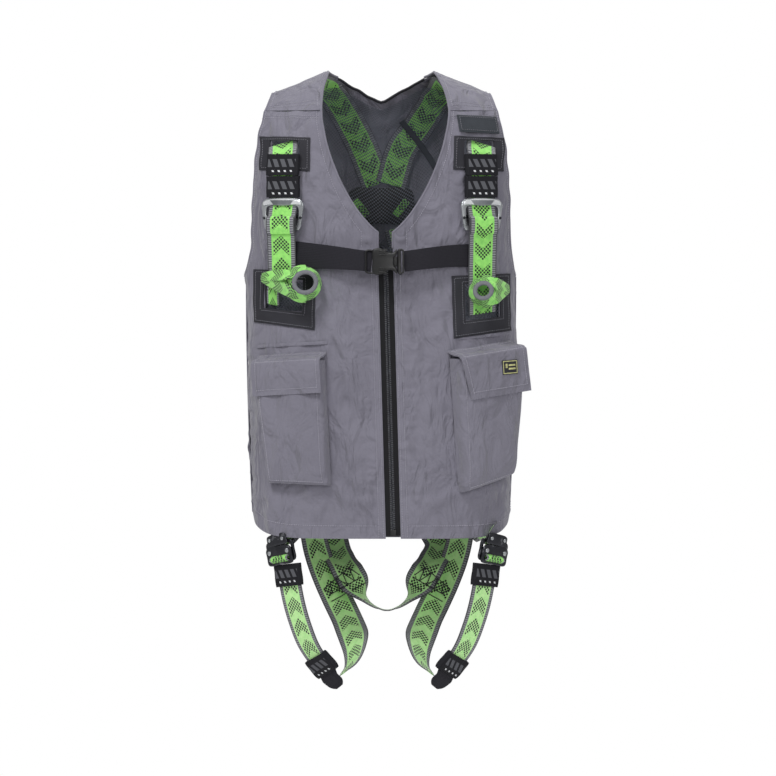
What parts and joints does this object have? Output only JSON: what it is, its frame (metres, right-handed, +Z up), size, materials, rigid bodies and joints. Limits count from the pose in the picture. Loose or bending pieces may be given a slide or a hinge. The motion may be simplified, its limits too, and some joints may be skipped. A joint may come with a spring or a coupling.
{
  "type": "safety harness vest",
  "caption": "Sleeveless zipped work vest with a full body harness built in: webbing, adjusters, chest buckle, textile loops, dorsal ring and thigh loops.",
  "frame": {"origin": "on the wearer's shoulder line, midway between the shoulders", "axes": "+Z up, +X to the wearer's left, the front faces -Y"},
  "size_m": [0.3996, 0.2666, 0.8816],
  "materials": {
    "twill": "matt woven twill",
    "patch": "matt coated fabric",
    "mesh": "open knitted mesh",
    "webbing": "woven polyester webbing",
    "dark_webbing": "woven polyester webbing",
    "plastic": "moulded",
    "alloy": "satin",
    "dark_steel": "blackened"
  },
  "bodies": {
    "vest": {"front_panel_right": "twill", "front_panel_left": "twill", "back_panel": "twill", "shoulder_yoke_right": "twill", "shoulder_yoke_left": "twill", "pocket_bag_right": "twill", "pocket_bag_left": "twill", "upper_patch_right": "patch", "upper_patch_left": "patch", "lower_patch_right": "patch", "lower_patch_left": "patch", "name_panel": "patch", "mesh_lining_body": "mesh", "mesh_lining_back": "mesh", "shoulder_strap_right": "webbing", "shoulder_strap_left": "webbing", "front_webbing_right": "webbing", "front_webbing_left": "webbing", "back_strap_right": "webbing", "back_strap_left": "webbing", "hip_strap_right": "webbing", "hip_strap_left": "webbing", "thigh_strap_right": "webbing", "thigh_strap_left": "webbing", "seat_strap": "webbing", "chest_strap_right": "dark_webbing", "chest_strap_left": "dark_webbing", "keeper_upper_right": "dark_webbing", "keeper_upper_left": "dark_webbing", "keeper_lower_right": "dark_webbing", "keeper_lower_left": "dark_webbing", "zip_tape_right": "dark_webbing", "zip_tape_left": "dark_webbing", "buckle_body": "plastic", "dorsal_plate": "plastic", "adjuster_right": "alloy", "adjuster_left": "alloy"},
    "slider": {"zip_slider": "dark_steel"},
    "pull": {"zip_pull": "dark_steel"},
    "chest_plug": {"buckle_plug": "plastic"},
    "prong_upper": {"buckle_prong_upper": "plastic"},
    "prong_lower": {"buckle_prong_lower": "plastic"},
    "bar_right": {"adjuster_bar_right": "dark_steel"},
    "bar_left": {"adjuster_bar_left": "dark_steel"},
    "loop_right": {"front_loop_right": "webbing"},
    "loop_left": {"front_loop_left": "webbing"},
    "flap_right": {"pocket_flap_right": "twill"},
    "flap_left": {"pocket_flap_left": "twill", "flap_label": "patch"},
    "ring": {"dorsal_ring": "alloy"},
    "leg_right": {"outer_leg_strap_right": "webbing", "strap_end_right": "dark_webbing", "leg_tongue_right": "dark_steel"},
    "leg_left": {"outer_leg_strap_left": "webbing", "strap_end_left": "dark_webbing", "leg_tongue_left": "dark_steel"},
    "leg_keeper_right": {"leg_keeper_right": "dark_webbing"},
    "leg_keeper_left": {"leg_keeper_left": "dark_webbing"},
    "leg_buckle_right": {"leg_buckle_right": "dark_steel"},
    "leg_buckle_left": {"leg_buckle_left": "dark_steel"}
  },
  "joints": [
    {"name": "zip_slide", "type": "slide", "parent": "vest", "child": "slider", "axis": [0.028, 0, -0.9996], "range_m": [0, 0.37]},
    {"name": "zip_pull_swing", "type": "hinge", "parent": "slider", "child": "pull", "pos_m": [0.00621, -0.11569, -0.2395], "axis": [-0.9996, 0, -0.028], "range_deg": [0, 30]},
    {"name": "chest_buckle_release", "type": "slide", "parent": "vest", "child": "chest_plug", "axis": [1, 0, 0], "range_m": [0, 0.028], "deforming": ["chest_strap_left"]},
    {"name": "prong_upper_squeeze", "type": "hinge", "parent": "chest_plug", "child": "prong_upper", "pos_m": [0.0215, -0.13549, -0.23636], "axis": [0, -1, 0], "range_deg": [0, 1.2], "stiffness_Nm_per_rad": 0.6},
    {"name": "prong_lower_squeeze", "type": "hinge", "parent": "chest_plug", "child": "prong_lower", "pos_m": [0.0215, -0.13549, -0.25564], "axis": [0, 1, 0], "range_deg": [0, 1.2], "stiffness_Nm_per_rad": 0.6},
    {"name": "adjuster_bar_slide_right", "type": "slide", "parent": "vest", "child": "bar_right", "axis": [0, 0, 1], "range_m": [0, 0.005]},
    {"name": "adjuster_bar_slide_left", "type": "slide", "parent": "vest", "child": "bar_left", "axis": [0, 0, 1], "range_m": [0, 0.005]},
    {"name": "loop_swing_right", "type": "hinge", "parent": "vest", "child": "loop_right", "pos_m": [-0.14733, -0.09708, -0.276], "axis": [0, 0, -1], "range_deg": [0, 55]},
    {"name": "loop_swing_left", "type": "hinge", "parent": "vest", "child": "loop_left", "pos_m": [0.16409, -0.09688, -0.28903], "axis": [0, 0, 1], "range_deg": [0, 55]},
    {"name": "flap_lift_right", "type": "hinge", "parent": "vest", "child": "flap_right", "pos_m": [-0.12847, -0.09496, -0.37703], "axis": [-0.9139, 0.4028, -0.05], "range_deg": [0, 120]},
    {"name": "flap_lift_left", "type": "hinge", "parent": "vest", "child": "flap_left", "pos_m": [0.14432, -0.08687, -0.36511], "axis": [-0.8438, -0.5182, -0.1395], "range_deg": [0, 100]},
    {"name": "ring_swing", "type": "hinge", "parent": "vest", "child": "ring", "pos_m": [0, 0.1165, -0.165], "axis": [1, 0, 0], "range_deg": [0, 150]},
    {"name": "leg_strap_open_right", "type": "hinge", "parent": "vest", "child": "leg_right", "pos_m": [-0.07659, -0.0558, -0.81861], "axis": [0, -1, 0], "range_deg": [0, 40]},
    {"name": "leg_strap_open_left", "type": "hinge", "parent": "vest", "child": "leg_left", "pos_m": [0.09339, -0.0558, -0.81861], "axis": [0, 1, 0], "range_deg": [0, 40]},
    {"name": "leg_keeper_slide_right", "type": "slide", "parent": "leg_right", "child": "leg_keeper_right", "axis": [0.1191, 0, -0.9929], "range_m": [0, 0.01]},
    {"name": "leg_keeper_slide_left", "type": "slide", "parent": "leg_left", "child": "leg_keeper_left", "axis": [-0.1191, 0, -0.9929], "range_m": [0, 0.01]},
    {"name": "leg_buckle_tilt_right", "type": "hinge", "parent": "vest", "child": "leg_buckle_right", "pos_m": [-0.14216, -0.072, -0.64121], "axis": [0.6816, -0.719, 0.1363], "range_deg": [0, 35]},
    {"name": "leg_buckle_tilt_left", "type": "hinge", "parent": "vest", "child": "leg_buckle_left", "pos_m": [0.15896, -0.072, -0.64121], "axis": [0.6816, 0.719, -0.1363], "range_deg": [0, 35]}
  ]
}
